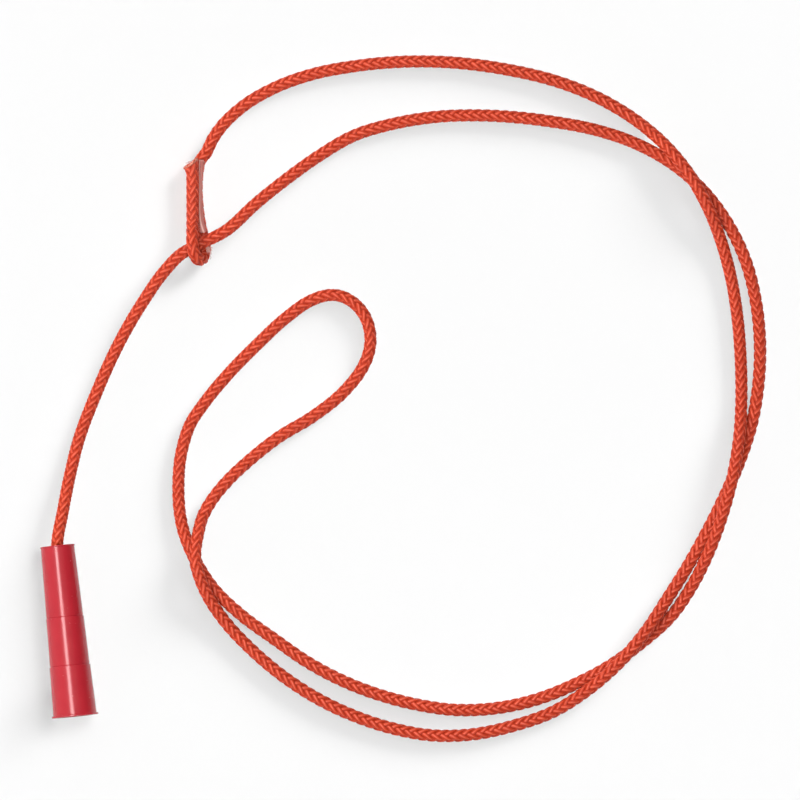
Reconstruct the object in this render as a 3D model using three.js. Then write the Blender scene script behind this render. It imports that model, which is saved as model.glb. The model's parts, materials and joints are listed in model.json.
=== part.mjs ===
// Slip-noose pull cord, in millimetres, +Z up, lying on a table at z = 0.
//
// One braided cord runs from a stopper knot inside a tapered handle, through a small eye,
// round the big ring, back on itself in a teardrop bight, round the ring again, and ends
// in the eye, where it is doubled back and held in a clear sleeve. Each stretch of the
// cord is a hollow braided sheath around a core of straight yarns.
// The origin is the middle of the object's box, on the table.
import * as THREE from 'three';

// Cord
const CORD_R = 2.5;
const BORE_R = 1.6;
const CORE_R = 1.25;
const CORD_SIDES = 8;
const CUT_GAP = 0.3;
// Height gained where one strand lies across another
const CROSS_LIFT = 5.4;
// Rings of the lofted cord: longest step and largest turn between two rings
const MAX_STEP = 16;
const MAX_TURN = THREE.MathUtils.degToRad(13);
const WALK = 0.4;
const SAMPLES_PER_POINT = 80;

// Handle: a hollow cup with a hole in its small end, in three stepped tapers and a lip
const HANDLE_END = { x: -138.3, y: -58.8 };
const HANDLE_HEADING = THREE.MathUtils.degToRad(-84);
const HANDLE_LENGTH = 68.6;
const HANDLE_STEPS = [
  { to: 28.8, startR: 6.75, endR: 7.45 },
  { to: 48.3, startR: 7.6, endR: 8.0 },
  { to: 67.8, startR: 8.2, endR: 8.75 },
];
const LIP_R = 9.35;
const HANDLE_WALL = 1.5;
const END_WALL = 2.5;
const HOLE_R = 3.1;
const HANDLE_SIDES = 32;

// Stopper knot and the free end behind it, measured from the handle's small end
const KNOT_AT = 52;
const KNOT_R = 5.7;
const KNOT_HALF_LENGTH = 5.6;
const FREE_END_LENGTH = 5;

// Eye: the cord wraps round the running cord, and its two legs lie in the sleeve
const EYE = { x: -81.9, y: 61.1, z: CORD_R + CROSS_LIFT };
const EYE_LEG_SPREAD = 2.3;
const EYE_LEAN = 0.9;
const EYE_SKEW = 0.36;
const EYE_WRAP_Y = 6;
const EYE_WRAP_Z = 5.4;
const EYE_WRAP_PARTS = 6;

// Clear sleeve: a wall around both legs
const SLEEVE_WALL = 0.4;
const SLEEVE_GAP = 0.3;
const SLEEVE_FROM = 73.6;
const SLEEVE_TO = 93;
const LOWER_LEG = { x: -82.1, z: CORD_R + SLEEVE_GAP + SLEEVE_WALL };
const UPPER_LEG = { x: -84.3, z: 8 };

const UP = new THREE.Vector3(0, 0, 1);

// A point of the cord: lift is 0 on the table and 1 on top of another strand.
function at(x, y, lift = 0) {
  return new THREE.Vector3(x, y, CORD_R + lift * CROSS_LIFT);
}

// The handle lies on its lip and on the rim of its small end, so its axis tips slightly.
function handleAxis() {
  const smallR = HANDLE_STEPS[0].startR;
  const tip = Math.atan2(LIP_R - smallR, HANDLE_LENGTH);
  const flat = Math.cos(tip);
  const direction = new THREE.Vector3(
    flat * Math.cos(HANDLE_HEADING), flat * Math.sin(HANDLE_HEADING), Math.sin(tip));
  const start = new THREE.Vector3(HANDLE_END.x, HANDLE_END.y, smallR * flat);
  return { start, direction };
}

// A point on the handle's axis, at a distance from its small end.
function onHandle(distance) {
  const axis = handleAxis();
  return axis.start.addScaledVector(axis.direction, distance);
}

// Points of the wrap round the running cord, from the lower leg to the upper leg.
function eyeWrap() {
  const points = [];
  for (let i = 0; i <= EYE_WRAP_PARTS; i += 1) {
    const turn = Math.PI * (i / EYE_WRAP_PARTS - 0.5);
    const across = EYE_LEAN * Math.cos(turn) - EYE_LEG_SPREAD * Math.sin(turn);
    points.push(new THREE.Vector3(
      EYE.x + across,
      EYE.y + EYE_SKEW * across - EYE_WRAP_Y * Math.cos(turn),
      EYE.z + EYE_WRAP_Z * Math.sin(turn)));
  }
  return points;
}

// A point of a leg in the sleeve.
function onLeg(leg, y) {
  return new THREE.Vector3(leg.x, y, leg.z);
}

// The whole cord in order. Each stretch is cut from the next at the next one's first point.
const STRETCHES = [
  { name: 'tail', points: [onHandle(KNOT_AT - KNOT_HALF_LENGTH), onHandle(24), onHandle(6)] },
  { name: 'handle_bend', points: [onHandle(-0.6), at(-137.4, -52.4, 0.68)] },
  { name: 'lead', points: [at(-136.2, -45.5, 0.56), at(-131.3, -21.6, 0.1)] },
  { name: 'lead_flex', points: [at(-128.2, -11.6), at(-123.9, -0.6)] },
  {
    name: 'running',
    points: [
      at(-119.3, 10.4), at(-112.2, 25, 0.12), at(-103.6, 39.4, 0.6), at(-96.6, 49.4, 0.96),
      at(-90.6, 56.2, 1), at(-86, 59.5, 1), at(-79, 62.2, 1), at(-70.6, 67.3, 1),
      at(-57.4, 79.2, 0.98), at(-41.4, 91.6, 0.45), at(-21.4, 104.4, 0.04),
      at(-1.4, 110.4), at(18.6, 113), at(42.6, 112.6), at(66.6, 109.5), at(84.6, 105.2),
      at(98.6, 99.2), at(108.6, 93.1), at(115.6, 87.4), at(123.3, 79.2), at(128.8, 71.4),
      at(133.2, 63.2), at(137.4, 53.4), at(140.8, 39.4), at(142.5, 23.4), at(142.3, 10),
      at(140.9, -1), at(139.6, -8.6), at(137.1, -16.6), at(134.6, -24.6), at(131.2, -32.6),
      at(127.7, -40.6), at(124, -48.6), at(119.5, -56.6), at(115, -64.8), at(110.1, -72.8),
      at(105, -80.8, 0.25), at(99.9, -88.8, 0.75), at(95, -95.4, 0.95), at(88.6, -103, 1),
      at(78.6, -112.5, 0.85), at(68.6, -120, 0.4), at(58.6, -125.8, 0.02), at(38.6, -132.2),
      at(18.6, -135), at(-1.4, -132.6), at(-21.4, -126.2), at(-41.4, -115.8),
      at(-59.7, -101.4), at(-71.8, -88.6, 0.15), at(-77.3, -80.6, 0.6),
      at(-81, -72.6, 0.95), at(-83.2, -64.6, 1), at(-82.5, -56.4, 0.74),
    ],
  },
  {
    name: 'bight_flex_right',
    points: [at(-80, -46.6, 0.05), at(-76.2, -40.2), at(-70.6, -33.2)],
  },
  {
    name: 'bight',
    points: [
      at(-63.1, -26), at(-50.4, -15.8), at(-37.6, -8.1), at(-28, -1.1), at(-20.4, 6.6),
      at(-14.9, 15.3), at(-13.2, 24), at(-15.3, 32.6), at(-20.4, 38.6), at(-26.8, 41.3),
      at(-34.4, 40.3), at(-44, 34.6), at(-56.8, 23.2), at(-69.5, 10.4), at(-79.6, -1.8),
    ],
  },
  {
    name: 'bight_flex_left',
    points: [at(-84.9, -9.6), at(-89, -22.6)],
  },
  {
    name: 'return',
    points: [
      at(-90, -37.8), at(-89.1, -47.4), at(-86.9, -56.6), at(-83.2, -64.6),
      at(-78.6, -72.6), at(-71.4, -80.8), at(-62.6, -88.4), at(-50.5, -97),
      at(-36.4, -106.6), at(-19.4, -115), at(-1.4, -120.8), at(18.6, -124.4),
      at(38.6, -123.6), at(58.6, -118.6), at(68.6, -114.2), at(78.6, -109.1),
      at(88.6, -103), at(98.2, -95), at(105.9, -88.2), at(111.9, -80.6),
      at(116.5, -72.8, 0.08), at(120.6, -64.8, 0.48), at(123.8, -56.6, 0.76),
      at(126.7, -48.6, 0.94), at(129.2, -40.6, 1), at(131.2, -32.6, 1), at(132.8, -24.6, 0.97),
      at(134, -16.6, 0.84), at(134.8, -8.6, 0.46), at(135.1, -0.6, 0.06), at(135, 10),
      at(134.4, 23.4), at(132.6, 39.4), at(129.8, 53.4), at(126.9, 63.2, 0.2),
      at(123.8, 71.4, 0.74), at(120.1, 79.4, 0.92), at(115.6, 87.4, 1), at(108.6, 96.8, 0.9),
      at(98.6, 106.8, 0.2), at(85.6, 116), at(72.6, 122.6),
    ],
  },
  {
    name: 'eye_flex',
    points: [
      at(58.6, 127.6), at(38.6, 132), at(18.6, 134.4), at(-1.4, 134.6), at(-21.4, 132.6),
      at(-41.4, 128.2), at(-57.8, 121), at(-68.5, 113.2), at(-75.4, 105.2, 0.04),
    ],
  },
  {
    name: 'eye',
    points: [
      at(-78.8, 98.4, 0.03), at(-81.4, 95, 0.1), onLeg(LOWER_LEG, 92), onLeg(LOWER_LEG, 84),
      onLeg(LOWER_LEG, 73.6),
      ...eyeWrap(),
      new THREE.Vector3(-84.3, 64.6, 12.3), new THREE.Vector3(-84.3, 68.6, 9.3),
      onLeg(UPPER_LEG, 72.6), onLeg(UPPER_LEG, 84), onLeg(UPPER_LEG, 93.6),
    ],
  },
];

// The smooth centre line through all stretches, and the length at which each one starts.
function layCord() {
  const points = STRETCHES.flatMap((stretch) => stretch.points);
  const curve = new THREE.CatmullRomCurve3(points, false, 'centripetal');
  curve.arcLengthDivisions = (points.length - 1) * SAMPLES_PER_POINT;
  const lengths = curve.getLengths();
  const starts = [];
  let index = 0;
  for (const stretch of STRETCHES) {
    starts.push(lengths[index * SAMPLES_PER_POINT]);
    index += stretch.points.length;
  }
  return { curve, starts, length: curve.getLength() };
}

// Lengths at which one stretch has its rings, closer together where the cord turns.
function ringPlaces(cord, from, to) {
  const heading = (length) => cord.curve.getTangentAt(length / cord.length);
  const places = [from];
  for (let s = from + WALK; s < to - 2 * WALK; s += WALK) {
    const last = places[places.length - 1];
    const turned = heading(s).angleTo(heading(last)) >= MAX_TURN;
    if (turned || s - last >= MAX_STEP) places.push(s);
  }
  places.push(to);
  return places;
}

// Ring frames along a stretch: each carries its side direction on from the one before.
function ringFrames(cord, from, to) {
  let side = null;
  return ringPlaces(cord, from, to).map((length) => {
    const centre = cord.curve.getPointAt(length / cord.length);
    const along = cord.curve.getTangentAt(length / cord.length);
    centre.z = Math.max(centre.z, CORD_R);
    if (side === null) side = new THREE.Vector3().crossVectors(UP, along);
    side = side.clone().addScaledVector(along, -side.dot(along)).normalize();
    return { centre, side, top: new THREE.Vector3().crossVectors(along, side) };
  });
}

// Corners of one many-sided ring, as plain numbers.
function ringCorners(frame, radius) {
  const corners = [];
  for (let i = 0; i < CORD_SIDES; i += 1) {
    const turn = (2 * Math.PI * i) / CORD_SIDES;
    const corner = frame.centre.clone()
      .addScaledVector(frame.side, radius * Math.cos(turn))
      .addScaledVector(frame.top, radius * Math.sin(turn));
    corners.push(corner.x, corner.y, corner.z);
  }
  return corners;
}

// A strip of quads between two rings, given by the index of each one's first corner.
function addStrip(faces, first, second) {
  for (let i = 0; i < CORD_SIDES; i += 1) {
    const next = (i + 1) % CORD_SIDES;
    faces.push(first + i, first + next, second + next);
    faces.push(first + i, second + next, second + i);
  }
}

function solidFrom(corners, faces) {
  const geometry = new THREE.BufferGeometry();
  geometry.setAttribute('position', new THREE.Float32BufferAttribute(corners, 3));
  geometry.setIndex(faces);
  geometry.computeVertexNormals();
  return geometry;
}

// Hollow sheath: outer skin, bore, and a flat ring at each end.
function sheathGeometry(frames) {
  const outer = frames.flatMap((frame) => ringCorners(frame, CORD_R));
  const bore = frames.flatMap((frame) => ringCorners(frame, BORE_R));
  const boreStart = frames.length * CORD_SIDES;
  const lastRing = (frames.length - 1) * CORD_SIDES;
  const faces = [];
  for (let ring = 0; ring < lastRing; ring += CORD_SIDES) {
    addStrip(faces, ring, ring + CORD_SIDES);
    addStrip(faces, boreStart + ring + CORD_SIDES, boreStart + ring);
  }
  addStrip(faces, boreStart, 0);
  addStrip(faces, lastRing, boreStart + lastRing);
  return solidFrom([...outer, ...bore], faces);
}

// Solid core: skin and a fan of triangles at each end.
function coreGeometry(frames) {
  const corners = frames.flatMap((frame) => ringCorners(frame, CORE_R));
  const lastRing = (frames.length - 1) * CORD_SIDES;
  const faces = [];
  for (let ring = 0; ring < lastRing; ring += CORD_SIDES) {
    addStrip(faces, ring, ring + CORD_SIDES);
  }
  for (let i = 1; i < CORD_SIDES - 1; i += 1) {
    faces.push(0, i + 1, i);
    faces.push(lastRing, lastRing + i, lastRing + i + 1);
  }
  return solidFrom(corners, faces);
}

function named(name, geometry, colour, roughness) {
  const material = new THREE.MeshStandardMaterial({ color: colour, roughness, metalness: 0 });
  const mesh = new THREE.Mesh(geometry, material);
  mesh.name = name;
  return mesh;
}

function sheath(name, frames) {
  return named(`${name}_sheath`, sheathGeometry(frames), '#d9472f', 0.6);
}

function core(name, frames) {
  return named(`${name}_core`, coreGeometry(frames), '#b3402a', 0.8);
}

// The sheath and the core of each stretch, with a small gap at every cut.
function makeCord() {
  const cord = layCord();
  const group = new THREE.Group();
  STRETCHES.forEach((stretch, i) => {
    const end = i + 1 < cord.starts.length ? cord.starts[i + 1] : cord.length;
    const frames = ringFrames(cord, cord.starts[i] + CUT_GAP / 2, end - CUT_GAP / 2);
    group.add(sheath(stretch.name, frames), core(stretch.name, frames));
  });
  return group;
}

// Turns a group whose local +Y is its axis onto the handle's axis.
function placeOnHandle(group) {
  const axis = handleAxis();
  group.quaternion.setFromUnitVectors(new THREE.Vector3(0, 1, 0), axis.direction);
  group.position.copy(axis.start);
  return group;
}

// Outline of the handle's wall, once round: outside from the small end, lip, then inside.
function handleOutline() {
  const outline = [new THREE.Vector2(HOLE_R, 0)];
  let from = 0;
  for (const step of HANDLE_STEPS) {
    outline.push(new THREE.Vector2(step.startR, from), new THREE.Vector2(step.endR, step.to));
    from = step.to;
  }
  const first = HANDLE_STEPS[0];
  const last = HANDLE_STEPS[HANDLE_STEPS.length - 1];
  outline.push(
    new THREE.Vector2(LIP_R, last.to),
    new THREE.Vector2(LIP_R, HANDLE_LENGTH),
    new THREE.Vector2(last.endR - HANDLE_WALL, HANDLE_LENGTH),
    new THREE.Vector2(first.startR - HANDLE_WALL, END_WALL),
    new THREE.Vector2(HOLE_R, END_WALL),
    new THREE.Vector2(HOLE_R, 0));
  return outline;
}

function makeHandle() {
  const shell = new THREE.LatheGeometry(handleOutline(), HANDLE_SIDES);
  const group = new THREE.Group();
  group.add(named('handle_shell', shell, '#c8283c', 0.3));
  return placeOnHandle(group);
}

// The knot that holds the cord in the handle, as a plain rounded lump.
function makeKnot() {
  const lump = new THREE.SphereGeometry(KNOT_R, 14, 10);
  lump.scale(1, KNOT_HALF_LENGTH / KNOT_R, 1);
  lump.translate(0, KNOT_AT, 0);
  const group = new THREE.Group();
  group.add(named('stopper_knot', lump, '#d9472f', 0.6));
  return placeOnHandle(group);
}

// The short free end behind the knot.
function makeFreeEnd() {
  const start = onHandle(KNOT_AT + KNOT_HALF_LENGTH + CUT_GAP);
  const along = handleAxis().direction;
  const side = new THREE.Vector3().crossVectors(UP, along).normalize();
  const top = new THREE.Vector3().crossVectors(along, side);
  const frames = [0, FREE_END_LENGTH].map((distance) => (
    { centre: start.clone().addScaledVector(along, distance), side, top }));
  const group = new THREE.Group();
  group.add(sheath('free_end', frames), core('free_end', frames));
  return group;
}

// Outline of a band with round ends around both legs of the eye, at a distance from them.
function bandOutline(path, radius) {
  const spread = Math.hypot(LOWER_LEG.x - UPPER_LEG.x, UPPER_LEG.z - LOWER_LEG.z);
  path.absarc(0, 0, radius, Math.PI / 2, -Math.PI / 2, false);
  path.absarc(spread, 0, radius, -Math.PI / 2, Math.PI / 2, false);
  path.closePath();
  return path;
}

// Clear sleeve: drawn flat with the lower leg at its origin, then stood on the legs.
function makeSleeve() {
  const inner = CORD_R + SLEEVE_GAP;
  const band = bandOutline(new THREE.Shape(), inner + SLEEVE_WALL);
  band.holes.push(bandOutline(new THREE.Path(), inner));
  const depth = SLEEVE_TO - SLEEVE_FROM;
  const wall = new THREE.ExtrudeGeometry(band, { depth, bevelEnabled: false, curveSegments: 8 });
  const lean = Math.atan2(UPPER_LEG.z - LOWER_LEG.z, LOWER_LEG.x - UPPER_LEG.x);
  wall.rotateX(Math.PI / 2);
  wall.rotateZ(Math.PI);
  wall.rotateY(lean);
  wall.translate(LOWER_LEG.x, SLEEVE_FROM, LOWER_LEG.z);
  return named('clear_sleeve', wall, '#f4e4e0', 0.15);
}

const slipNoose = new THREE.Group();
slipNoose.add(makeCord(), makeHandle(), makeKnot(), makeFreeEnd(), makeSleeve());

export default slipNoose;
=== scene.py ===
"""Looks of the slip-noose pull cord: a plaited cord, a moulded handle and a clear sleeve."""
import json
import math

import bpy
import numpy as np
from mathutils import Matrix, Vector


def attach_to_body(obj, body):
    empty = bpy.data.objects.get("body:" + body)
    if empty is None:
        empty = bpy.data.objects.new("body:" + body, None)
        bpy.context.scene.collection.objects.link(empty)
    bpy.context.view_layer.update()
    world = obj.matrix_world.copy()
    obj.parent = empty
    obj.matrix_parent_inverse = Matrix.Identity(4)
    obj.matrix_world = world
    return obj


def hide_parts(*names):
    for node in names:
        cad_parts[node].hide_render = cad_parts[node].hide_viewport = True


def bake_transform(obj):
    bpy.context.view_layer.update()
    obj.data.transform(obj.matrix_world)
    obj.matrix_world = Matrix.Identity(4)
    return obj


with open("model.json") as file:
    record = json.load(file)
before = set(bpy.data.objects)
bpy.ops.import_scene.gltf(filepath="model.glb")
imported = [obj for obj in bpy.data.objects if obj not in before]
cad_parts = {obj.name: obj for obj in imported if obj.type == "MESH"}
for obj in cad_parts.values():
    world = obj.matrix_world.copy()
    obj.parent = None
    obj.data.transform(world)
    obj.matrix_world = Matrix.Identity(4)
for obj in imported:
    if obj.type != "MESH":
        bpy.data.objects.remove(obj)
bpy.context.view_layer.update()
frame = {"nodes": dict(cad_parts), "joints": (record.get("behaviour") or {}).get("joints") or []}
MM = 0.001
UP = np.array([0.0, 0.0, 1.0])

# Stretches of the cord from the handle to the eye, and the bodies at their two ends
STRETCHES = [
    ("tail", "tail", "tail"),
    ("handle_bend", "tail", "lead"),
    ("lead", "lead", "lead"),
    ("lead_flex", "lead", "noose"),
    ("running", "noose", "noose"),
    ("bight_flex_right", "noose", "bight"),
    ("bight", "bight", "bight"),
    ("bight_flex_left", "bight", "noose"),
    ("return", "noose", "noose"),
    ("eye_flex", "noose", "running_eye"),
    ("eye", "running_eye", "running_eye"),
]

# Plait: strands of each hand pass over two and under two strands of the other hand
HANDS = (1, -1)
STRANDS = 6
LAY = 21.6 * MM
CORD_R = 2.58 * MM
STRAND_RISE = 0.38 * MM
STRAND_THICK = 0.56 * MM
STRAND_WIDE = 0.96 * MM
STRAND_R = CORD_R - STRAND_RISE - STRAND_THICK
FLOATS = STRANDS / 2
FLOAT_AT = math.pi / (2 * STRANDS)
FLOAT_FLATNESS = 0.25
STRAND_SIDES = 10
STEP = 0.9 * MM
FINE_STEP = 0.1 * MM
SPINE_TURN = math.radians(75)
# The cord's own slow twist: distances along it, and degrees the pattern has turned there
TWIST_AT = (0, 150, 330, 500, 700, 950, 1300, 1560, 1825)
TWIST_BY = (0, 0, 16, -35, -12, 0, 35, -6, 0)

# Two triangles lie in one plane when the cosine between their normals is above this
SAME_PLANE = 0.999

# Core yarns under the plait
CORE_R = 1.32 * MM
CORE_SIDES = 12

# Cut end at the eye: how far back it is splayed, and by how much
CUT_REACH = 5 * MM
CUT_SPLAY = 0.16
CUT_SLANT = 0.75
CUT_LEAN = 0.7 * MM
CUT_PULL = 0.4 * MM
# Melted bead on a cut end: its rings' distances past the cut, and widths against the cord's
CAP_PROFILE = ((-1.0, 0.82), (-0.6, 0.97), (-0.1, 1.02), (0.3, 0.93), (0.6, 0.72), (0.75, 0.3))
CAP_SIDES = 28
LUMP_SIZE = 0.6 * MM
LUMP_HIGH = 0.5 * MM
# The lumps swell away from this far behind the cut, which is behind the bead's last ring
LUMP_CENTRE = 1.5 * MM

# Clear film round the two legs of the eye
EYE_REACH = 90 * MM
FILM_FROM = 66.0 * MM
FILM_TO = 94.2 * MM
FILM_STEP = 0.4 * MM
# The upper leg is cut off here, and the film runs straight on over it
UPPER_LEG_TO = 93.4 * MM
FILM_SIDES = 144
FILM_GAP = 0.18 * MM
FILM_THICK = 0.12 * MM
FLOOR_Z = -0.15 * MM
CREASE_SIZE = 0.7 * MM
CREASE_HIGH = 0.22 * MM
# Creases run along the legs, and are lowest where the film hugs the cord
CREASE_STRETCH = (1, 0.1, 1)
CREASE_TIGHT = 0.1
# The long fold down its slack side: where between the legs, how wide against their distance
FOLD_AT = 0.62
FOLD_WIDE = 0.05
# It wanders from side to side on the way up, and bends over and widens towards its foot
FOLD_WANDER = 0.05
FOLD_WAVES = 9
FOLD_LEAN = 0.12
FOLD_SPREAD = 1.2
FOLD_HIGH = 0.25 * MM
# Its ragged, slightly flared lower edge, and its slanted top edge with a painted highlight along the
# rim
FLARE_HIGH = 0.1 * MM
FLARE_REACH = 2.5 * MM
RAGGED_SIZE = 1.1 * MM
RAGGED_HIGH = 1.4 * MM
RAGGED_REACH = 5 * MM
TOP_SLANT = 0.6 * MM
TOP_REACH = 3 * MM
TOP_ABOVE = 5.5 * MM
PAINTED_RIM_HIGHLIGHT = 0.55
# Its crumpled loose end: distances before the bottom of the bend, and degrees round the cord
FLAP_FROM = 8.4 * MM
FLAP_TO = 3.2 * MM
FLAP_ROUND = (20, 85)
FLAP_ROWS = 60
FLAP_COLUMNS = 30
FLAP_GAP = 0.3 * MM
FLAP_SLACK = 0.5
CRUMPLE_UNDER = 0.25 * MM
CRUMPLE_SIZE = 0.75 * MM
CRUMPLE_HIGH = 0.9 * MM
CRUMPLE_MOST = 0.4 * MM
# Crumples this high get the full haze and painted highlight
CRUMPLE_FULL_HIGHLIGHT = 0.45 * MM

# Handle: bead round the small end, fine groove under each step, rounded corners
HANDLE_SIDES = 128
BEAD = 0.22 * MM
GROOVE = 0.16 * MM
CORNER_R = 0.25 * MM
LONGEST_SIDE = 3 * MM
CORNER_GUARD = 0.15 * MM
# A rounded corner takes at most this share of each side
CORNER_SHARE = 0.45
# Corners of the CAD shell this close along the axis lie at the same step
STEP_TOLERANCE = 2e-5

# Stopper knot: the cord drawn tight, and its wraps over itself
KNOT_SQUEEZE = 0.74
KNOT_COIL_R = 3.75 * MM
KNOT_WRAPS = 2.5
KNOT_COIL_LENGTH = 0.66
KNOT_POINTS = 33
# Both ends of the wraps go down to the axis: the share of the radius there, and its rise
KNOT_BURIED = 0.25
KNOT_RISE = 3.5
# Free end: drawn a little tighter than the cord, with a narrower bead set back on its tip
FREE_END_SQUEEZE = 0.97
FREE_BEAD = 0.93
FREE_BEAD_BACK = 0.3 * MM

# Floor lights: shares of the floor's brightness; directions and widths in degrees
FLOOR_ALBEDO = 0.89
KEY = 0.20
LOW_KEY = ((1.0, 1.0, 0.58), 24)
MIDDLE_KEY = ((1.0, 1.0, 1.1), 22)
HIGH_KEY = ((1.0, 1.0, 2.4), 26)
FLOOD = 0.10
FLOOD_FROM = ((0.0, 0.0, 1.0), 5)
EYE_PIECES = ("eye_plait", "eye_yarns", "melted_cut_end", "clear_film", "clear_film_flap")
# Soft lights on the object: place, side lengths, radiance
SIDE_LIGHT = ((-0.95, 0.35, 0.85), (0.6, 0.6), 7.2)
TOP_LIGHT = ((-0.1, 0.0, 1.3), (1.6, 1.6), 1.7)
STRIP_LIGHT = ((-0.35, 0.0, 1.1), (0.30, 1.8), 10.5)
STRIP_AIM = (-0.137, 0.0, 0.0)
# Brightness of the sky from the left to the right: on matt surfaces, and mirrored in gloss
SKY_DIFFUSE = (0.40, 0.24)
SKY_GLOSS = (1.0, 0.2)
SKY_SEEN = 1.2
FLOOR_HALF = 8.0
VIEW_WIDTH = 0.32
VIEW_CENTRE = (-0.0014, -0.0006)
CAMERA_HEIGHT = 6.0


# ---------------------------------------------------------------- centre line of the cord

def unit(vectors):
    """Each row at length 1."""
    return vectors / np.linalg.norm(vectors, axis=-1, keepdims=True)


def gap(a, b):
    """Distance between two points."""
    return float(np.linalg.norm(a - b))


def merged_mesh(node):
    """A CAD node's corners, each once, and its triangles as numbers of those corners."""
    mesh = frame["nodes"][node].data
    raw = np.array([v.co[:] for v in mesh.vertices])
    corners, number = np.unique(raw.round(7), axis=0, return_inverse=True)
    number = number.ravel()
    faces = [[int(number[i]) for i in face.vertices] for face in mesh.polygons]
    return corners, faces


def end_ring(corners, faces):
    """The corners of one flat end of a lofted rod: the end's triangles share one normal."""
    touching = [[] for _ in corners]
    for face in faces:
        for i in face:
            touching[i].append(face)
    hub = max(range(len(corners)), key=lambda i: len(touching[i]))
    normals = []
    for face in touching[hub]:
        a, b, c = corners[face[:3]]
        normals.append(unit(np.cross(b - a, c - a)))
    agree = [sum(float(n @ m) > SAME_PLANE for m in normals) for n in normals]
    flat = normals[int(np.argmax(agree))]
    ring = set()
    for face, normal in zip(touching[hub], normals):
        if float(normal @ flat) > SAME_PLANE:
            ring.update(face)
    return ring


def ring_centres(node):
    """Centres of a lofted rod's rings, in order from one end to the other."""
    corners, faces = merged_mesh(node)
    near = [set() for _ in corners]
    for face in faces:
        for i in face:
            near[i].update(face)
    ring = end_ring(corners, faces)
    seen = set(ring)
    centres = []
    while ring:
        centres.append(corners[sorted(ring)].mean(axis=0))
        ring = set().union(*(near[i] for i in ring)) - seen
        seen |= ring
    return np.array(centres)


def cord_points():
    """Points of the whole cord in order, and the number of each stretch's first point."""
    runs = [ring_centres(name + "_core") for name, _, _ in STRETCHES]
    middle_of_next = runs[1].mean(axis=0)
    if gap(runs[0][0], middle_of_next) < gap(runs[0][-1], middle_of_next):
        runs[0] = runs[0][::-1]
    points = list(runs[0])
    starts = [0]
    for run in runs[1:]:
        if gap(run[-1], points[-1]) < gap(run[0], points[-1]):
            run = run[::-1]
        points[-1] = (points[-1] + run[0]) / 2
        starts.append(len(points) - 1)
        points.extend(run[1:])
    return np.array(points), starts


def smooth_curve(points, step):
    """A dense smooth curve through the points, evenly stepped, and each point's length."""
    chords = np.linalg.norm(np.diff(points, axis=0), axis=1)
    knots = np.concatenate([[0.0], np.cumsum(chords)])
    slopes = np.gradient(points, knots, axis=0)
    dense = np.linspace(0, knots[-1], int(knots[-1] / FINE_STEP))
    left = np.clip(np.searchsorted(knots, dense, side="right") - 1, 0, len(chords) - 1)
    span = chords[left][:, None]
    t = ((dense - knots[left]) / chords[left])[:, None]
    curve = ((2 * t**3 - 3 * t**2 + 1) * points[left]
             + (t**3 - 2 * t**2 + t) * span * slopes[left]
             + (3 * t**2 - 2 * t**3) * points[left + 1]
             + (t**3 - t**2) * span * slopes[left + 1])
    lengths = np.concatenate([[0.0], np.cumsum(np.linalg.norm(np.diff(curve, axis=0), axis=1))])
    even = np.linspace(0, lengths[-1], int(lengths[-1] / step) + 1)
    stepped = np.stack([np.interp(even, lengths, curve[:, k]) for k in range(3)], axis=1)
    return even, stepped, np.interp(knots, dense, lengths)


class Path:
    """A curve in space with a frame that is carried along it without twisting."""

    def __init__(self, points, first_side=None):
        self.lengths, self.centres, self.at_point = smooth_curve(points, STEP / 2)
        self.total = float(self.lengths[-1])
        self.along = unit(np.gradient(self.centres, self.lengths, axis=0))
        side = np.cross(UP, self.along[0]) if first_side is None else first_side
        sides = []
        for along in self.along:
            side = unit(side - along * float(side @ along))
            sides.append(side)
        self.sides = np.array(sides)

    def look_up(self, table, lengths):
        return np.stack([np.interp(lengths, self.lengths, table[:, k]) for k in range(3)], axis=1)

    def frames(self, lengths):
        """Centre, along, side and top directions at the given lengths."""
        along = unit(self.look_up(self.along, lengths))
        side = self.look_up(self.sides, lengths)
        side = unit(side - along * np.sum(side * along, axis=1, keepdims=True))
        return self.look_up(self.centres, lengths), along, side, np.cross(along, side)


# ---------------------------------------------------------------- meshes

def make_object(name, corners, faces, smooth=True):
    mesh = bpy.data.meshes.new(name)
    mesh.from_pydata([tuple(c) for c in corners], [], faces)
    mesh.update()
    if smooth:
        mesh.shade_smooth()
    piece = bpy.data.objects.new(name, mesh)
    bpy.context.scene.collection.objects.link(piece)
    return piece


def tube_faces(rings, sides, first=0):
    """Quads of a tube whose rings turn clockwise when seen along it."""
    faces = []
    for i in range(rings - 1):
        for j in range(sides):
            k = (j + 1) % sides
            a = first + i * sides
            faces.append((a + j, a + sides + j, a + sides + k, a + k))
    return faces


def cap_faces(ring_start, sides, hub, forward):
    """Triangles from a ring to its middle corner."""
    faces = []
    for j in range(sides):
        k = (j + 1) % sides
        pair = (ring_start + k, ring_start + j) if forward else (ring_start + j, ring_start + k)
        faces.append((*pair, hub))
    return faces


def closed_tube(rings, first=0):
    """Corners and faces of a tube with both ends closed, from an array of its rings."""
    count, sides = rings.shape[:2]
    corners = np.concatenate([rings.reshape(-1, 3), rings[[0, -1]].mean(axis=1)])
    faces = tube_faces(count, sides, first)
    hubs = first + count * sides
    faces += cap_faces(first, sides, hubs, False)
    faces += cap_faces(first + (count - 1) * sides, sides, hubs + 1, True)
    return corners, faces


def tube_round(path, lengths, radii, sides):
    """Rings of a round tube along a path, with a radius for each length."""
    centre, _, side, top = path.frames(lengths)
    rim = -2 * math.pi * np.arange(sides) / sides
    out = (side[:, None, :] * np.cos(rim)[None, :, None]
           + top[:, None, :] * np.sin(rim)[None, :, None])
    return centre[:, None, :] + out * np.asarray(radii)[:, None, None]


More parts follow.
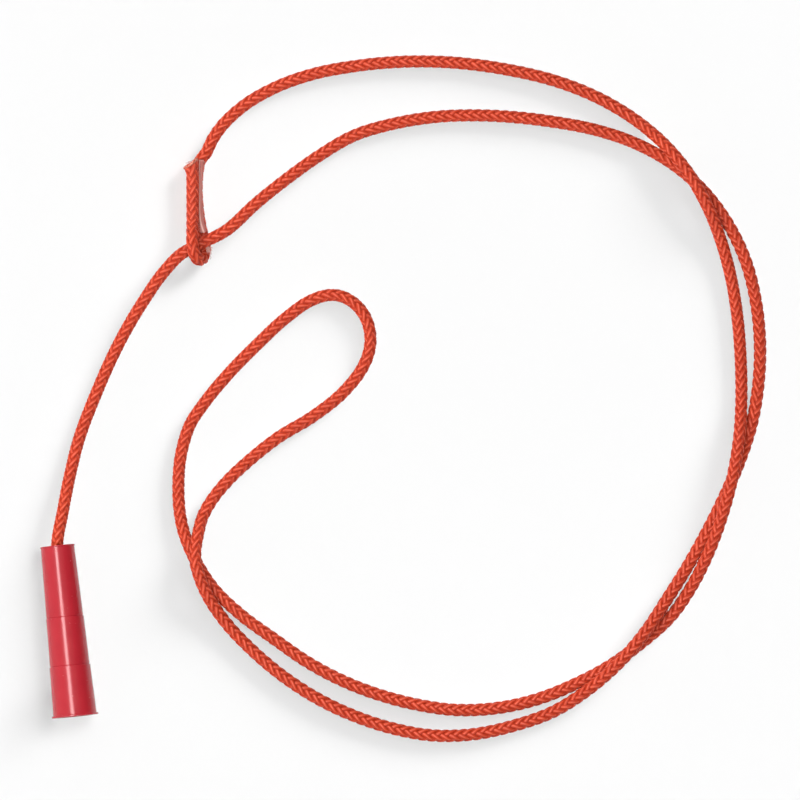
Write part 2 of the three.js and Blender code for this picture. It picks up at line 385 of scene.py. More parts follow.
def strand_rings(path, lengths, hand, number, scale):
    """Rings of one strand of the plait, as an array of rings by sides by xyz."""
    centre, _, side, top = path.frames(lengths)
    angle = hand * 2 * math.pi * lengths / (LAY * scale) + 2 * math.pi * number / STRANDS
    swell = np.cos(FLOATS * (angle - FLOAT_AT))
    weave = swell * math.sqrt(1 + FLOAT_FLATNESS) / np.sqrt(swell**2 + FLOAT_FLATNESS)
    radius = (STRAND_R + hand * STRAND_RISE * weave) * scale
    twist = np.radians(np.interp(lengths / MM, TWIST_AT, TWIST_BY))
    turn = (angle + SPINE_TURN + twist)[:, None]
    out = side * np.cos(turn) + top * np.sin(turn)
    middle = centre + out * radius[:, None]
    along = unit(np.gradient(middle, lengths, axis=0))
    out = unit(out - along * np.sum(out * along, axis=1, keepdims=True))
    across = np.cross(along, out)
    rim = 2 * math.pi * (np.arange(STRAND_SIDES) + 0.5) / STRAND_SIDES
    wide = STRAND_WIDE * scale * np.cos(rim)
    high = STRAND_THICK * scale * np.sin(rim)
    return (middle[:, None, :] + across[:, None, :] * wide[None, :, None]
            + out[:, None, :] * high[None, :, None])


def strand_marks(lengths, strand):
    """The "yarn" values of one strand's corners, in the order of closed_tube."""
    rim = np.cos(2 * math.pi * (np.arange(STRAND_SIDES) + 0.5) / STRAND_SIDES)
    grid = np.empty((len(lengths), STRAND_SIDES, 3))
    grid[..., 0] = (lengths / MM)[:, None]
    grid[..., 1] = rim[None, :]
    grid[..., 2] = strand
    ends = [(lengths[0] / MM, 0, strand), (lengths[-1] / MM, 0, strand)]
    return np.concatenate([grid.reshape(-1, 3), ends])


def plait(name, path, start, end, scale=1.0):
    """The plaited sheath between two lengths of a path, every strand a closed tube."""
    inner = path.lengths[::2]
    inner = inner[(inner > start + STEP / 4) & (inner < end - STEP / 4)]
    lengths = np.concatenate([[start], inner, [end]])
    corners, faces, marks = [], [], []
    first = 0
    for hand in HANDS:
        for number in range(STRANDS):
            tube, tube_quads = closed_tube(strand_rings(path, lengths, hand, number, scale), first)
            corners.append(tube)
            faces += tube_quads
            first += len(tube)
            marks.append(strand_marks(lengths, number + (STRANDS if hand < 0 else 0)))
    piece = make_object(name, np.concatenate(corners), faces)
    mark_yarn(piece, np.concatenate(marks))
    return piece


def rod(name, path, start, end, radius, step=3 * MM):
    """A round rod along a path, closed at both ends."""
    lengths = np.linspace(start, end, max(2, int((end - start) / step) + 1))
    radii = np.full(len(lengths), radius)
    piece = make_object(name, *closed_tube(tube_round(path, lengths, radii, CORE_SIDES)))
    along = np.concatenate([np.repeat(lengths, CORE_SIDES), [start, end]]) / MM
    mark_yarn(piece, np.stack([along, 0 * along, 0 * along], axis=1))
    return piece


def ripple(points, size, height, seed):
    """A smooth pseudo-random offset for each point, from a few crossed waves."""
    random = np.random.default_rng(seed)
    total = np.zeros(len(points))
    for _ in range(6):
        wave = random.normal(size=3) / size
        total += np.sin(points @ wave + random.uniform(0, 2 * math.pi))
    return total * height / 6


def mark_yarn(piece, values):
    """Stores each corner's distance along the cord, place across its strand, and strand."""
    layer = piece.data.attributes.new("yarn", "FLOAT_VECTOR", "POINT")
    layer.data.foreach_set("vector", values.astype(np.float32).ravel())


def corners_of(piece):
    """A piece's corners, as an array of xyz."""
    found = np.empty(len(piece.data.vertices) * 3)
    piece.data.vertices.foreach_get("co", found)
    return found.reshape(-1, 3)


def move_corners(piece, corners):
    piece.data.vertices.foreach_set("co", np.ascontiguousarray(corners).ravel())
    piece.data.update()


# ---------------------------------------------------------------- materials

class Nodes:
    """A short way to fill a node tree."""

    def __init__(self, tree):
        self.tree = tree

    def add(self, kind, inputs=(), **settings):
        node = self.tree.nodes.new(kind)
        for key, value in settings.items():
            setattr(node, key, value)
        for key, value in dict(inputs).items():
            self.plug(node, key, value)
        return node

    def plug(self, node, key, value):
        if isinstance(value, bpy.types.NodeSocket):
            self.tree.links.new(value, node.inputs[key])
        else:
            node.inputs[key].default_value = value

    def maths(self, operation, a, b=0.0):
        return self.add("ShaderNodeMath", {0: a, 1: b}, operation=operation).outputs[0]

    def mix(self, factor, a, b):
        node = self.add("ShaderNodeMix", data_type="RGBA")
        self.plug(node, 0, factor)
        self.plug(node, 6, a)
        self.plug(node, 7, b)
        return node.outputs[2]

    def ramp(self, factor, low, high, to_low=0.0, to_high=1.0):
        node = self.add("ShaderNodeMapRange", {0: factor, 1: low, 2: high, 3: to_low, 4: to_high})
        return node.outputs[0]

    def noise(self, vector, scale, detail=2.0):
        node = self.add("ShaderNodeTexNoise", {"Vector": vector, "Scale": scale, "Detail": detail})
        return node.outputs[0]

    def bump(self, height, strength, distance):
        node = self.add("ShaderNodeBump", {
            "Height": height, "Strength": strength, "Distance": distance})
        return node.outputs[0]


class Material(Nodes):
    """A new material with one principled surface."""

    def __init__(self, name):
        self.material = bpy.data.materials.new(name)
        self.material.use_nodes = True
        super().__init__(self.material.node_tree)
        self.place = self.add("ShaderNodeTexCoord").outputs["Object"]

    def corner_value(self, name, output="Fac"):
        return self.add("ShaderNodeAttribute", attribute_name=name).outputs[output]

    def greyed_in_bounces(self, colour):
        """The colour, but grey for light on its way to the floor, so that shadows stay grey."""
        grey = self.add("ShaderNodeHueSaturation", {"Saturation": 0.1, "Value": 0.9,
                                                    "Color": colour}).outputs[0]
        bounced = self.add("ShaderNodeLightPath").outputs["Is Diffuse Ray"]
        return self.mix(bounced, colour, grey)

    def finish(self, **inputs):
        surface = self.tree.nodes["Principled BSDF"]
        for key, value in inputs.items():
            self.plug(surface, key.replace("_", " "), value)
        return self.material


def yarn_material(name, dark, middle, light):
    """Filament yarn: fine fibres along each strand, with a painted highlight along its crown and
    painted shade at its edges.
    """
    n = Material(name)
    parts = n.add("ShaderNodeSeparateXYZ", {0: n.corner_value("yarn", "Vector")})
    along, across, number = parts.outputs[0], parts.outputs[1], parts.outputs[2]
    drawn = n.add("ShaderNodeCombineXYZ", {
        0: n.maths("MULTIPLY", along, 0.4),
        1: n.maths("MULTIPLY", across, 4.5),
        2: n.maths("MULTIPLY", number, 7.3)}).outputs[0]
    fibres = n.noise(drawn, 1.6, 4.0)
    slow = n.add("ShaderNodeCombineXYZ", {
        0: n.maths("MULTIPLY", along, 0.15), 2: n.maths("MULTIPLY", number, 3.1)}).outputs[0]
    own = n.noise(slow, 1.0)
    from_crown = n.maths("ABSOLUTE", across)
    # Painted shade towards each strand's edges, and a painted highlight along its crown, broken up
    # by the fibres
    painted_edge_shade = n.ramp(from_crown, 0.55, 1.0)
    painted_crown_highlight = n.maths("MULTIPLY", n.ramp(from_crown, 0.45, 0.1), n.ramp(fibres, 0.3, 0.65, 0.3, 1.0))
    colour = n.mix(n.ramp(fibres, 0.3, 0.7, 0.55, 1.0), dark, middle)
    # Lay the painted highlight and then the painted shade over the fibres' own tone
    colour = n.mix(n.maths("MULTIPLY", painted_crown_highlight, 0.85), colour, light)
    colour = n.mix(n.maths("MULTIPLY", painted_edge_shade, 0.8), colour, dark)
    colour = n.mix(n.ramp(own, 0.35, 0.75, 0.0, 0.35), colour, dark)
    return n.finish(Base_Color=n.greyed_in_bounces(colour), Roughness=0.5,
                    Normal=n.bump(fibres, 0.35, 0.00025), Specular_IOR_Level=0.22)


def core_material():
    """Straight filaments under the plait, seen only in its shadow, with dark colours as painted
    shade.
    """
    n = Material("core_yarns")
    spot = n.noise(n.place, 900.0, 3.0)
    # Darker than the plait's own colour: painted shade for the gaps between its strands
    colour = n.mix(spot, (0.20, 0.018, 0.006, 1), (0.42, 0.05, 0.018, 1))
    return n.finish(Base_Color=colour, Roughness=0.8, Normal=n.bump(spot, 0.4, 0.0002))


def handle_material():
    """Moulded crimson plastic: faint flow lines, fine pitting and small scuffs in the gloss."""
    n = Material("moulded_handle")
    flow = n.noise(n.place, 130.0, 3.0)
    pits = n.noise(n.place, 3200.0)
    scuffs = n.noise(n.place, 700.0, 6.0)
    colour = n.mix(n.ramp(flow, 0.35, 0.7), (0.46, 0.008, 0.020, 1), (0.50, 0.011, 0.023, 1))
    rough = n.maths("ADD", n.ramp(flow, 0.3, 0.7, 0.18, 0.21),
                    n.ramp(scuffs, 0.62, 0.75, 0.0, 0.12))
    return n.finish(Base_Color=n.greyed_in_bounces(colour), Roughness=rough,
                    Normal=n.bump(pits, 0.06, 0.00004), Specular_IOR_Level=0.55)


def film_material():
    """Clear shrunk film: nearly invisible where it hugs the cord, hazy where slack, and paler and
    more opaque along its fold, top rim and crumples, as haze and painted highlight.
    """
    n = Material("clear_film")
    slack = n.corner_value("slack")
    fold_and_highlight = n.corner_value("fold_and_highlight")
    drawn = n.add("ShaderNodeMapping", {"Vector": n.place, "Scale": (1.0, 0.08, 1.0)})
    haze = n.noise(drawn.outputs[0], 900.0, 2.0)
    cloud = n.maths("MULTIPLY", n.ramp(haze, 0.3, 0.7, 0.7, 1.0), n.ramp(slack, 0, 1, 0.01, 0.58))
    # Along the fold and on the crumples this is haze and a painted highlight; on the top rim it is a
    # painted highlight
    alpha = n.maths("ADD", cloud, n.maths("MULTIPLY", fold_and_highlight, 0.42))
    colour = n.mix(fold_and_highlight, (1.0, 0.42, 0.36, 1), (1.0, 0.68, 0.60, 1))
    return n.finish(Base_Color=colour, Roughness=0.3, Alpha=alpha,
                    Normal=n.bump(haze, 0.1, 0.0002), Specular_IOR_Level=0.35)


def melted_material():
    """Melted and set again: glassy, blotched, with bubbles."""
    n = Material("melted_end")
    blot = n.noise(n.place, 1500.0, 4.0)
    colour = n.mix(n.ramp(blot, 0.35, 0.65), (0.42, 0.04, 0.015, 1), (0.80, 0.28, 0.18, 1))
    return n.finish(Base_Color=colour, Roughness=0.22, Normal=n.bump(blot, 0.5, 0.0002))


def floor_material():
    n = Material("pale_floor")
    colour = n.mix(n.noise(n.place, 3.0), (0.88, 0.88, 0.88, 1), (0.90, 0.90, 0.90, 1))
    return n.finish(Base_Color=colour, Roughness=0.95, Specular_IOR_Level=0.1)


# Colours: dark, middle, and pale for the painted highlight on each strand's crown; the dark one also
# gives the painted shade at the strands' edges
CORD = yarn_material("plaited_cord", (0.38, 0.020, 0.004, 1), (0.70, 0.052, 0.011, 1),
                     (1.0, 0.175, 0.095, 1))
CORE = core_material()
MELTED = melted_material()
FILM = film_material()


# ---------------------------------------------------------------- cord

def attach(piece, first_body, last_body):
    """Rides on one body; a piece across a flexing stretch between two bodies only has its transform
    baked.
    """
    if first_body == last_body:
        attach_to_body(piece, first_body)
    else:
        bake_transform(piece)


def dress(piece, material, slot, *nodes):
    """Gives a piece its material, and hides the CAD nodes it stands for."""
    piece.data.materials.append(material)
    if nodes:
        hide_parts(*nodes)


def splay_cut_end(piece, path):
    """The cut end of the cord at the eye: leaning, splayed and cut at a slant."""
    corners = corners_of(piece)
    lengths = np.full(len(corners) * 3, path.total / MM, np.float32)
    if "yarn" in piece.data.attributes:
        piece.data.attributes["yarn"].data.foreach_get("vector", lengths)
    near = np.clip(1 - (path.total - lengths.reshape(-1, 3)[:, :1] * MM) / CUT_REACH, 0, 1) ** 2
    along = path.along[-1]
    side = unit(np.cross(along, UP))
    away = corners - path.centres[-1]
    out = away - np.outer(away @ along, along)
    slant = (out @ side)[:, None] * CUT_SLANT * along
    shift = out * CUT_SPLAY + slant - side * CUT_LEAN + along * CUT_PULL
    move_corners(piece, corners + near * shift)


def melted_cap(name, tip, along, radius, seed):
    """A lumpy melted bead over a cut end."""
    side = unit(np.cross(along, UP))
    top = np.cross(side, along)
    turn = -2 * math.pi * np.arange(CAP_SIDES) / CAP_SIDES
    out = side[None, :] * np.cos(turn)[:, None] + top[None, :] * np.sin(turn)[:, None]
    rings = np.array([tip + along * forward * MM + out * radius * width
                      for forward, width in CAP_PROFILE])
    corners, faces = closed_tube(rings)
    lump = ripple(corners, LUMP_SIZE, LUMP_HIGH, seed)
    away = unit(corners - (tip - along * LUMP_CENTRE))
    return make_object(name, corners + away * lump[:, None], faces)


def make_cord():
    """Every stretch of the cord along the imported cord's own centre line."""
    points, starts = cord_points()
    path = Path(points)
    ends = [path.at_point[i] for i in starts[1:]] + [path.total]
    for (name, first_body, last_body), i, end in zip(STRETCHES, starts, ends):
        start = path.at_point[i]
        sheath = plait(name + "_plait", path, start, end)
        yarns = rod(name + "_yarns", path, start, end, CORE_R)
        if name == "eye":
            splay_cut_end(sheath, path)
            splay_cut_end(yarns, path)
        attach(sheath, first_body, last_body)
        attach(yarns, first_body, last_body)
        dress(sheath, CORD, "cord", name + "_sheath")
        dress(yarns, CORE, "core", name + "_core")
    cap = melted_cap("melted_cut_end", path.centres[-1], path.along[-1], CORD_R, 5)
    splay_cut_end(cap, path)
    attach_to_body(cap, "running_eye")
    dress(cap, MELTED, "cord")
    return path


# ---------------------------------------------------------------- clear sleeve on the eye

def leg_centres(path, heights, upper):
    """Centres of one leg of the eye where it passes the given distances along Y."""
    centres = path.centres[path.lengths > path.total - EYE_REACH]
    bend = int(np.argmin(centres[:, 1]))
    leg = centres[bend:] if upper else centres[:bend][::-1]
    order = np.argsort(leg[:, 1])
    return np.stack([np.interp(heights, leg[order, 1], leg[order, k]) for k in (0, 2)], axis=1)


def stadium_points(low, high, radius, count):
    """Evenly spread points on the outline of two equal circles and their straight tangents.

    The third number of a point says how free the film is there: 1 in the middle of a tangent.
    """
    between = high - low
    length = float(np.linalg.norm(between))
    forward = between / length
    across = np.array([forward[1], -forward[0]])
    half_turn = math.pi * radius
    points = []
    for s in np.arange(count) * 2 * (length + half_turn) / count:
        slack = 0.0
        if s < length:
            point = low + forward * s + across * radius
            slack = math.sin(math.pi * s / length)
        elif s < length + half_turn:
            turn = (s - length) / radius
            point = high + radius * (across * math.cos(turn) + forward * math.sin(turn))
        elif s < 2 * length + half_turn:
            back = s - length - half_turn
            point = high - forward * back - across * radius
            slack = math.sin(math.pi * back / length)
        else:
            turn = (s - 2 * length - half_turn) / radius
            point = low - radius * (across * math.cos(turn) + forward * math.sin(turn))
        points.append((*point, slack))
    return np.array(points)


def seam_fold(rings, tangent_points):
    """How close each corner of the film is to the long fold on the slack side, 0 to 1."""
    tangent = np.linspace(0, 1, tangent_points)
    height = np.arange(len(rings))[:, None] / len(rings)
    wander = FOLD_WANDER * np.sin(FOLD_WAVES * height)
    middle = FOLD_AT + wander - FOLD_LEAN * (1 - height) ** 4
    width = FOLD_WIDE * (1 + FOLD_SPREAD * (1 - height) ** 3)
    fold_and_highlight = np.zeros(rings.shape[:2])
    fold_and_highlight[:, :tangent_points] = np.exp(-((tangent[None, :] - middle) / width) ** 2)
    return fold_and_highlight


def near_end(distances, reach):
    """1 at an end of the film, falling to 0 at a distance from it, for each of its rings."""
    return np.clip(1 - distances / reach, 0, 1)[:, None]


def shape_film(rings, slack, fold_and_highlight, heights, upper_leg):
    """Creases and folds the film, and shapes its two edges."""
    flat = rings.reshape(-1, 3)
    crease = ripple(flat * np.array(CREASE_STRETCH), CREASE_SIZE, CREASE_HIGH, 3)
    foot = near_end(heights - FILM_FROM, FLARE_REACH)
    lift = crease.reshape(slack.shape) * (CREASE_TIGHT + slack) + FOLD_HIGH * fold_and_highlight
    lift = lift * (1 - foot) + FLARE_HIGH * foot ** 2
    rings += unit(rings - rings.mean(axis=1, keepdims=True)) * lift[..., None]
    ragged = ripple(rings[0], RAGGED_SIZE, RAGGED_HIGH, 8)
    rings[..., 1] += ragged[None, :] * near_end(heights - FILM_FROM, RAGGED_REACH)
    rightward = np.clip((rings[..., 0] - upper_leg[:, :1]) / CORD_R, -1, 1)
    rightward *= rings[..., 2] > TOP_ABOVE
    rings[..., 1] += TOP_SLANT * (1 + rightward) * near_end(FILM_TO - heights, TOP_REACH)
    rings[..., 2] = np.maximum(rings[..., 2], FLOOR_Z)


def film_shell(outer, name):
    """A thin closed wall: an outer skin of rings by sides, and an inner skin just under it."""
    count, sides = outer.shape[:2]
    centre = outer.mean(axis=1, keepdims=True)
    inner = outer + unit(centre - outer) * FILM_THICK
    corners = np.concatenate([outer.reshape(-1, 3), inner.reshape(-1, 3)])
    skin = count * sides
    last = skin - sides
    faces = tube_faces(count, sides)
    faces += [f[::-1] for f in tube_faces(count, sides, skin)]
    for j in range(sides):
        k = (j + 1) % sides
        faces.append((j, k, skin + k, skin + j))
        faces.append((last + k, last + j, skin + last + j, skin + last + k))
    return make_object(name, corners, faces)


def mark_film(film, slack, fold_and_highlight):
    """Stores how free the outer skin is at each corner, and how much fold haze and painted highlight
    it has there.
    """
    for name, values in (("slack", slack), ("fold_and_highlight", fold_and_highlight)):
        both_skins = np.concatenate([np.ravel(values), np.zeros(values.size)])
        layer = film.data.attributes.new(name, "FLOAT", "POINT")
        layer.data.foreach_set("value", both_skins.astype(np.float32))


def make_sleeve(path):
    """The film shrunk round both legs of the eye, with a fold down its slack side."""
    heights = np.concatenate([np.arange(FILM_FROM, FILM_TO, FILM_STEP), [FILM_TO]])
    low = leg_centres(path, heights, False)
    high = leg_centres(path, np.minimum(heights, UPPER_LEG_TO), True)
    rings, slack = [], []
    for y, a, b in zip(heights, low, high):
        flat = stadium_points(a, b, CORD_R + FILM_GAP, FILM_SIDES)
        rings.append(np.stack([flat[:, 0], np.full(FILM_SIDES, y), flat[:, 1]], axis=1))
        slack.append(flat[:, 2])
    rings, slack = np.array(rings), np.array(slack)
    fold_and_highlight = seam_fold(rings, int(np.argmin(slack[0, 1:] > 0)) + 1)
    shape_film(rings, slack, fold_and_highlight, heights, high)
    # The top two rings get a painted highlight along the rim
    fold_and_highlight[-2:] = np.maximum(fold_and_highlight[-2:], PAINTED_RIM_HIGHLIGHT)
    film = film_shell(rings, "clear_film")
    mark_film(film, slack, fold_and_highlight)
    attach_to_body(film, "running_eye")
    dress(film, FILM, "sleeve", "clear_sleeve")


def sheet_solid(name, upper, lower):
    """A thin closed sheet from two arrays of rows by columns by xyz."""
    rows, columns = upper.shape[:2]
    skin = rows * columns
    faces = []
    for i in range(rows - 1):
        for j in range(columns - 1):
            a = i * columns + j
            quad = (a, a + 1, a + columns + 1, a + columns)
            faces += [quad, tuple(v + skin for v in quad[::-1])]
    number = np.arange(skin).reshape(rows, columns)
    border = [*number[0], *number[1:, -1], *number[-1, -2::-1], *number[-2:0:-1, 0]]
    for a, b in zip(border, border[1:] + border[:1]):
        faces.append((b, a, a + skin, b + skin))
    faces = [tuple(int(v) for v in face) for face in faces]
    return make_object(name, np.concatenate([upper.reshape(-1, 3), lower.reshape(-1, 3)]), faces)


def make_flap(path):
    """The loose crumpled end of the film, hugging the outer side of the bend."""
    eye = np.flatnonzero(path.lengths > path.total - EYE_REACH)
    bottom = path.lengths[eye[np.argmin(path.centres[eye, 1])]]
    lengths = np.linspace(bottom - FLAP_FROM, bottom - FLAP_TO, FLAP_ROWS)
    centre, along, _, _ = path.frames(lengths)
    across = unit(np.cross(along, UP))
    top = np.cross(across, along)
    if across[FLAP_ROWS // 2, 0] < 0:
        across = -across
    turn = np.radians(np.linspace(*FLAP_ROUND, FLAP_COLUMNS))
    out = (across[:, None, :] * np.cos(turn)[None, :, None]
           + top[:, None, :] * np.sin(turn)[None, :, None])
    flat = centre[:, None, :] + out * (CORD_R + CRUMPLE_UNDER)
    crumple = np.abs(ripple(flat.reshape(-1, 3), CRUMPLE_SIZE, CRUMPLE_HIGH, 11))
    crumple = np.minimum(crumple, CRUMPLE_MOST).reshape(FLAP_ROWS, FLAP_COLUMNS)
    upper = centre[:, None, :] + out * (CORD_R + FLAP_GAP + crumple)[..., None]
    flap = sheet_solid("clear_film_flap", upper, upper - out * FILM_THICK)
    # Higher crumples are hazier and carry more painted highlight
    mark_film(flap, np.full(crumple.size, FLAP_SLACK), (crumple / CRUMPLE_FULL_HIGHLIGHT) ** 2)
    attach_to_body(flap, "running_eye")
    dress(flap, FILM, "sleeve")


# ---------------------------------------------------------------- handle

def joint(name):
    return next(j for j in frame["joints"] if j["name"] == name)


HANDLE_AXIS = unit(np.array(joint("handle_turn")["axis"], float))
HANDLE_START = np.array(joint("handle_turn")["pos_m"], float)


def round_about_axis(outline, sides, name):
    """A closed ring-shaped solid: an outline of (distance along, radius) turned about the handle."""
    side = unit(np.cross(HANDLE_AXIS, UP))
    top = np.cross(side, HANDLE_AXIS)
    turn = 2 * math.pi * np.arange(sides) / sides
    out = side[None, :] * np.cos(turn)[:, None] + top[None, :] * np.sin(turn)[:, None]
    corners = []
    for along, radius in outline:
        corners.append(HANDLE_START + HANDLE_AXIS * along + out * radius)
    count = len(outline)
    faces = []
    for i in range(count):
        for j in range(sides):
            a, b = i * sides, ((i + 1) % count) * sides
            k = (j + 1) % sides
            faces.append((a + j, b + j, b + k, a + k))
    return make_object(name, np.concatenate(corners), faces)


def handle_corners():
    """The CAD handle's corners as distinct (distance along, radius) pairs."""
    corners, _ = merged_mesh("handle_shell")
    from_start = corners - HANDLE_START
    along = from_start @ HANDLE_AXIS
    radius = np.linalg.norm(from_start - np.outer(along, HANDLE_AXIS), axis=1)
    return np.unique(np.stack([along, radius], axis=1).round(5), axis=0)


def rounded(outline, radius, parts=4):
    """The closed outline with every corner rounded off, by at most the given radius."""
    result = []
    count = len(outline)
    for i in range(count):
        before, here, after = (np.array(outline[(i + k) % count]) for k in (-1, 0, 1))
        reach = min(radius, CORNER_SHARE * gap(before, here), CORNER_SHARE * gap(after, here))
        start = here + (before - here) / gap(before, here) * reach
        end = here + (after - here) / gap(after, here) * reach
        for t in np.linspace(0, 1, parts + 1):
            result.append((1 - t)**2 * start + 2 * t * (1 - t) * here + t**2 * end)
    return result


def split_long(outline, longest, guard):
    """The closed outline with extra points on its long sides, and close to their two ends."""
    result = []
    for a, b in zip(outline, outline[1:] + outline[:1]):
        length = gap(a, b)
        marks = [0.0]
        if length > 4 * guard:
            parts = max(1, int(length / longest))
            marks += [guard / length]
            marks += [i / parts for i in range(1, parts)]
            marks += [1 - guard / length]
        result += [a + (b - a) * mark for mark in marks]
    return result


def handle_outline():
    """Outside from the small end to the lip, then inside back again, from the CAD shell."""
    pairs = handle_corners()
    ends = sorted(set(pairs[:, 0].round(4)))
    at = {e: sorted(pairs[np.abs(pairs[:, 0] - e) < STEP_TOLERANCE][:, 1]) for e in ends}
    start, inner_wall, *steps, lip, mouth = ends
    rim = at[start][-1] + BEAD
    outline = [(start, at[start][0]), (start, rim), (start + 2 * BEAD, rim),
               (start + 3 * BEAD, rim - BEAD)]
    for step in steps:
        under, over = at[step][0], at[step][-1]
        outline += [(step - 2 * GROOVE, under), (step - GROOVE, under - GROOVE),
                    (step, under - GROOVE), (step, over)]
    outline += [(lip, at[lip][0]), (lip, at[lip][-1])]
    outline += [(mouth, at[mouth][-1]), (mouth, at[mouth][0])]
    outline += [(inner_wall, at[inner_wall][-1]), (inner_wall, at[inner_wall][0])]
    return [np.array(p) for p in outline]


def make_handle():
    """The moulding, turned from the CAD shell's outline with its corners rounded."""
    outline = split_long(rounded(handle_outline(), CORNER_R), LONGEST_SIDE, CORNER_GUARD)
    shell = round_about_axis(outline, HANDLE_SIDES, "handle_moulding")
    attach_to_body(shell, "handle")
    dress(shell, handle_material(), "handle", "handle_shell")


# ---------------------------------------------------------------- stopper knot and free end

def on_axis(along, out=0.0, turn=0.0):
    """A point by its distance along the handle's axis, and its place around it."""
    side = unit(np.cross(HANDLE_AXIS, UP))
    top = np.cross(side, HANDLE_AXIS)
    round_it = side * math.cos(turn) + top * math.sin(turn)
    return HANDLE_START + HANDLE_AXIS * along + round_it * out


def node_span(node):
    """Where a CAD node begins and ends along the handle's axis."""
    corners, _ = merged_mesh(node)
    along = (corners - HANDLE_START) @ HANDLE_AXIS
    return float(along.min()), float(along.max())


def axis_path(start, end, count=7):
    """A straight path along the handle's axis."""
    return Path(np.array([on_axis(along) for along in np.linspace(start, end, count)]))


def make_knot():
    """The wraps of the cord drawn tight over itself."""
    start, end = node_span("stopper_knot")
    middle, half = (start + end) / 2, (end - start) / 2
    through = axis_path(start, end)
    coil = []
    for t in np.linspace(-1, 1, KNOT_POINTS):
        out = KNOT_COIL_R * min(1.0, KNOT_BURIED + KNOT_RISE * (1 - abs(t)))
        coil.append(on_axis(middle + KNOT_COIL_LENGTH * half * t, out, math.pi * KNOT_WRAPS * t))
    wraps = Path(np.array(coil), first_side=HANDLE_AXIS)
    inner = plait("knot_through_plait", through, 0.0, through.total, KNOT_SQUEEZE)
    outer = plait("knot_wraps_plait", wraps, 0.0, wraps.total, KNOT_SQUEEZE)
    yarns = rod("knot_wraps_yarns", wraps, 0.0, wraps.total, CORE_R * KNOT_SQUEEZE)
    for piece in (inner, outer, yarns):
        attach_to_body(piece, "knot")
    dress(inner, CORD, "cord")
    dress(outer, CORD, "cord", "stopper_knot")
    dress(yarns, CORE, "core")


def make_free_end():
    """The short end behind the knot, with its melted tip."""
    path = axis_path(*node_span("free_end_sheath"), 5)
    sheath = plait("free_end_plait", path, 0.0, path.total, FREE_END_SQUEEZE)
    yarns = rod("free_end_yarns", path, 0.0, path.total, CORE_R)
    tip = path.centres[-1] - HANDLE_AXIS * FREE_BEAD_BACK
    cap = melted_cap("melted_free_end", tip, HANDLE_AXIS, FREE_BEAD * CORD_R, 9)
    for piece in (sheath, yarns, cap):
        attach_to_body(piece, "knot")
    dress(sheath, CORD, "cord", "free_end_sheath")
    dress(yarns, CORE, "core", "free_end_core")
    dress(cap, MELTED, "cord")


# ---------------------------------------------------------------- floor, light, camera

def place_light(name, data, place, aim):
    """A light that shines from one point towards another."""
    light = bpy.data.objects.new(name, data)
    light.location = place
    towards = Vector(aim) - Vector(place)
    light.rotation_euler = towards.to_track_quat("-Z", "X").to_euler()
    bpy.context.scene.collection.objects.link(light)
    return light


def area_light(name, place, size, radiance, aim, seen_by):
    """A rectangular light that shows only in diffuse or only in glossy surfaces."""
    data = bpy.data.lights.new(name, "AREA")
    data.shape = "RECTANGLE"
    data.size, data.size_y = size
    data.energy = radiance * math.pi * size[0] * size[1]
    light = place_light(name, data, place, aim)
    light.visible_diffuse = seen_by == "diffuse"
    light.visible_glossy = seen_by == "glossy"
    return light


def floor_light(name, share, direction, width, blockers):
    """A far light for the floor alone, which gives a share of its brightness."""
    data = bpy.data.lights.new(name, "SUN")
    data.angle = math.radians(width)
    data.energy = share * math.pi / (FLOOR_ALBEDO * unit(np.array(direction))[2])
    light = place_light(name, data, direction, (0, 0, 0))
    light.visible_glossy = False
    light.light_linking.receiver_collection = light_group(name + "_lit", [FLOOR], "INCLUDE")
    light.light_linking.blocker_collection = blockers


def light_group(name, pieces, state):
    """A group for light linking: only these pieces, or everything but them."""
    group = bpy.data.collections.new(name)
    for piece in pieces:
        group.objects.link(piece)
    for entry in group.collection_objects:
        entry.light_linking.link_state = state
    return group


def make_floor_lights():
    """Keys that shade the floor: the taller a piece, the higher the key that casts its shadow.

    So every shadow on the floor is about as wide. The flood casts none, so they stay pale.
    """
    handle = [bpy.data.objects["handle_moulding"]]
    eye = [bpy.data.objects[name] for name in EYE_PIECES]
    flat_pieces = light_group("flat_pieces", handle + eye, "EXCLUDE")
    eye_pieces = light_group("eye_pieces", eye, "INCLUDE")
    handle_piece = light_group("handle_piece", handle, "INCLUDE")
    nothing = light_group("floor_only", [FLOOR], "INCLUDE")
    floor_light("key_low", KEY, *LOW_KEY, flat_pieces)
    floor_light("key_middle", KEY, *MIDDLE_KEY, eye_pieces)
    floor_light("key_high", KEY, *HIGH_KEY, handle_piece)
    floor_light("flood", FLOOD, *FLOOD_FROM, nothing)


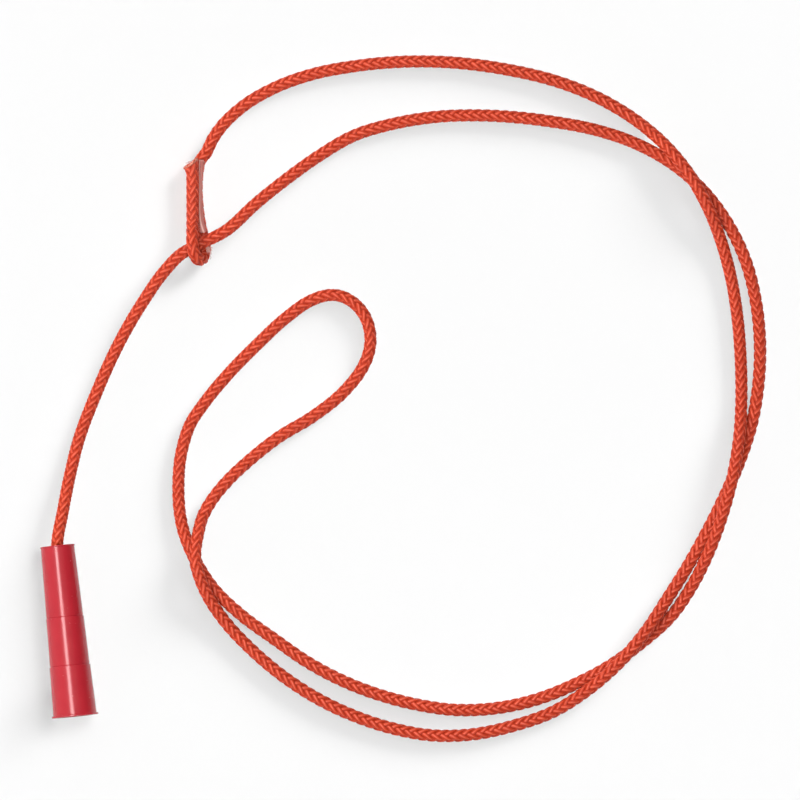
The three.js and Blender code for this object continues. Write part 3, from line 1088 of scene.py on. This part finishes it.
def make_object_lights():
    """Soft lights from the left and above, and a strip that shows as the handle's highlight."""
    pieces = light_group("all_but_floor", [FLOOR], "EXCLUDE")
    for name, light in (("side", SIDE_LIGHT), ("top", TOP_LIGHT)):
        lamp = area_light(name, *light, (0, 0, 0), "diffuse")
        lamp.light_linking.receiver_collection = pieces
    area_light("strip", *STRIP_LIGHT, STRIP_AIM, "glossy")


def make_world():
    """White all round, fading from the left to the right."""
    world = bpy.data.worlds.new("soft_white")
    bpy.context.scene.world = world
    world.use_nodes = True
    n = Nodes(world.node_tree)
    direction = n.add("ShaderNodeTexCoord").outputs["Generated"]
    across = n.add("ShaderNodeSeparateXYZ", {0: direction}).outputs[0]
    ray = n.add("ShaderNodeLightPath")
    diffuse = n.ramp(across, -1.0, 1.0, *SKY_DIFFUSE)
    gloss = n.ramp(across, -1.0, 1.0, *SKY_GLOSS)
    strength = n.add("ShaderNodeMix", {0: ray.outputs["Is Glossy Ray"], 2: diffuse, 3: gloss})
    strength = n.add("ShaderNodeMix", {0: ray.outputs["Is Camera Ray"],
                                       2: strength.outputs[0], 3: SKY_SEEN})
    background = world.node_tree.nodes["Background"]
    n.plug(background, 0, (1, 1, 1, 1))
    n.plug(background, 1, strength.outputs[0])


def make_floor():
    """A pale sheet, wide enough to fill the view from any side."""
    edge = FLOOR_HALF
    floor = make_object("floor", [(-edge, -edge, 0), (edge, -edge, 0), (edge, edge, 0),
                                  (-edge, edge, 0)], [(0, 1, 2, 3)], smooth=False)
    floor.location.z = FLOOR_Z
    floor.data.materials.append(floor_material())
    return floor


def make_camera():
    """Straight down on the laid cord, from far enough to show no perspective."""
    data = bpy.data.cameras.new("camera")
    data.sensor_width = 36
    data.lens = data.sensor_width * CAMERA_HEIGHT / VIEW_WIDTH
    camera = bpy.data.objects.new("camera", data)
    camera.location = (*VIEW_CENTRE, CAMERA_HEIGHT)
    bpy.context.scene.collection.objects.link(camera)
    bpy.context.scene.camera = camera
    bpy.context.scene.view_settings.view_transform = "Standard"


cord_path = make_cord()
make_sleeve(cord_path)
make_flap(cord_path)
make_handle()
make_knot()
make_free_end()
FLOOR = make_floor()
make_floor_lights()
make_object_lights()
make_world()
make_camera()
